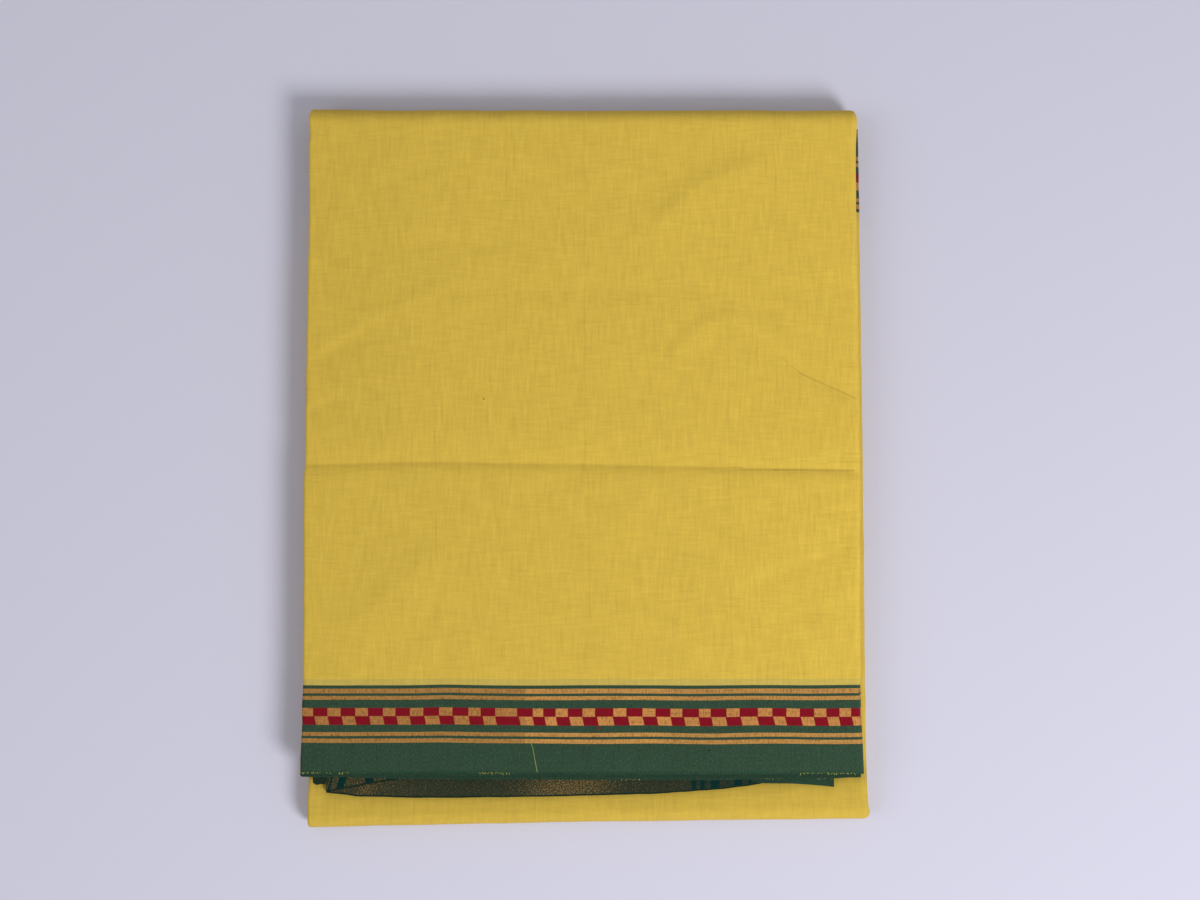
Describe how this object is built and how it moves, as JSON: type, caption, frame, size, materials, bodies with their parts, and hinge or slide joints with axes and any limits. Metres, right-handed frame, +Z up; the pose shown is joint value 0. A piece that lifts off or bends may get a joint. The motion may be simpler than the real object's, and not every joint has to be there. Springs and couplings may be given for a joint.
{
  "type": "folded saree",
  "caption": "Cotton saree folded flat for the shelf, yellow with a green and gold checked border along the front edge and a dark shot end piece peeping out.",
  "frame": {"origin": "on the surface that the pack lies on, under the middle of its bounding box", "axes": "+X to the right edge, where the strip's layers are folded, +Y to the thick back fold, away from the border, +Z up out of the top"},
  "size_m": [0.3168, 0.409, 0.021],
  "materials": {
    "yellow_body": "plain handloom cotton weave, soft and matt",
    "green_border": "green woven border with gold thread bands and red and gold checks",
    "pallu": "dark teal warp shot with gold-brown weft, in bands at its ends, faintly glittering"
  },
  "bodies": {
    "root": {"top_panel": "yellow_body", "underside_panel": "yellow_body", "front_panel": "yellow_body", "hidden_layers": "yellow_body", "second_layer": "green_border", "inner_border_layer": "green_border", "pallu_upper": "pallu", "pallu_lower": "pallu"}
  },
  "joints": []
}
